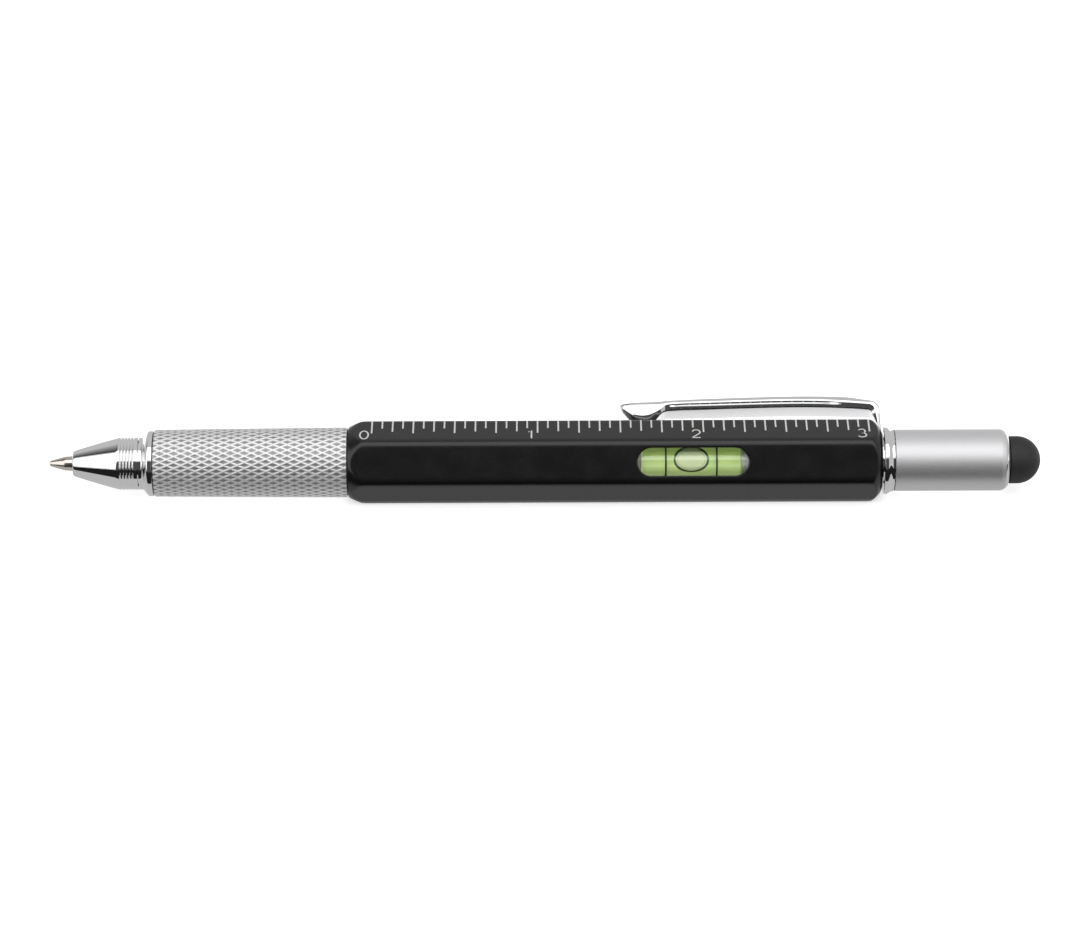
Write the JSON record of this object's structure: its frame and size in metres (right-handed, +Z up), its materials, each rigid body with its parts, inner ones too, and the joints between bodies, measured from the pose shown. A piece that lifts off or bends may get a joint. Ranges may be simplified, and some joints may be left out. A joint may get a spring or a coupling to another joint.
{
  "type": "multi tool pen",
  "caption": "Twist-action ballpoint pen with knurled grip, hexagonal ruler barrel, spirit level, clip, and a stylus cap over a screwdriver bit.",
  "frame": {"origin": "centre of the barrel's flat that the pen lies on, at the middle of the barrel's length", "axes": "+X along the pen from the writing tip to the stylus, +Z up out of the ruler flat, +Y to the side that carries the clip"},
  "size_m": [0.1524, 0.0162, 0.0125],
  "materials": {
    "black_barrel": "matt black, slightly satin, with pale grey ruler marks on one flat",
    "chrome": "polished mirror chrome",
    "knurled_silver": "bright silver, diamond knurl",
    "satin_aluminium": "fine satin, bead-blasted look, bright chamfer at the end",
    "steel": "plain bright steel",
    "tool_steel": "ground tool steel",
    "brass": "plain turned brass",
    "black_rubber": "soft matt black",
    "rubber": "nitrile ring",
    "white_plastic": "white moulded",
    "black_band": "black ring line",
    "clear_plastic": "clear polished acrylic",
    "level_liquid": "clear yellow-green spirit",
    "bubble": "air bubble"
  },
  "bodies": {
    "barrel": {"hex_barrel": "black_barrel", "front_bushing": "brass", "friction_ring": "rubber", "guide_tube": "steel", "vial_cradle": "white_plastic", "level_vial": "clear_plastic", "vial_plug": "white_plastic", "vial_liquid": "level_liquid", "vial_band_front": "black_band", "vial_band_rear": "black_band", "clip_root": "chrome", "rear_insert": "brass", "rear_collar": "chrome", "bit_magnet": "steel", "driver_bit": "tool_steel"},
    "grip": {"knurled_grip": "knurled_silver", "front_collar": "chrome", "cam_sleeve": "brass"},
    "nose": {"nose_cone": "chrome"},
    "refill": {"refill_tube": "brass", "refill_tip": "steel", "writing_ball": "steel", "refill_carrier": "white_plastic", "carrier_pin": "steel"},
    "bubble": {"vial_bubble": "bubble"},
    "clip": {"clip_arm": "chrome"},
    "cap": {"cap_sleeve": "satin_aluminium", "cap_insert": "brass", "stylus_holder": "white_plastic", "stylus_tip": "black_rubber"}
  },
  "joints": [
    {"name": "grip_twist", "type": "hinge", "parent": "barrel", "child": "grip", "pos_m": [-0.0411, 0, 0.00565], "axis": [1, 0, 0], "range_deg": [0, 180]},
    {"name": "refill_slide", "type": "slide", "parent": "barrel", "child": "refill", "axis": [1, 0, 0], "range_m": [0, 0.005]},
    {"name": "nose_off", "type": "slide", "parent": "grip", "child": "nose", "axis": [-1, 0, 0], "range_m": [0, 0.024]},
    {"name": "cap_off", "type": "slide", "parent": "barrel", "child": "cap", "axis": [1, 0, 0], "range_m": [0, 0.025]},
    {"name": "clip_flex", "type": "hinge", "parent": "barrel", "child": "clip", "pos_m": [0.04093, 0.00637, 0.00932], "axis": [0, 0.5, -0.866], "range_deg": [0, 4], "stiffness_Nm_per_rad": 1.2},
    {"name": "bubble_drift", "type": "slide", "parent": "barrel", "child": "bubble", "axis": [1, 0, 0], "range_m": [-0.004, 0.004]}
  ],
  "couplings": [
    {"joint": "refill_slide", "follows": "grip_twist", "m_per_rad": 0.0015915}
  ]
}
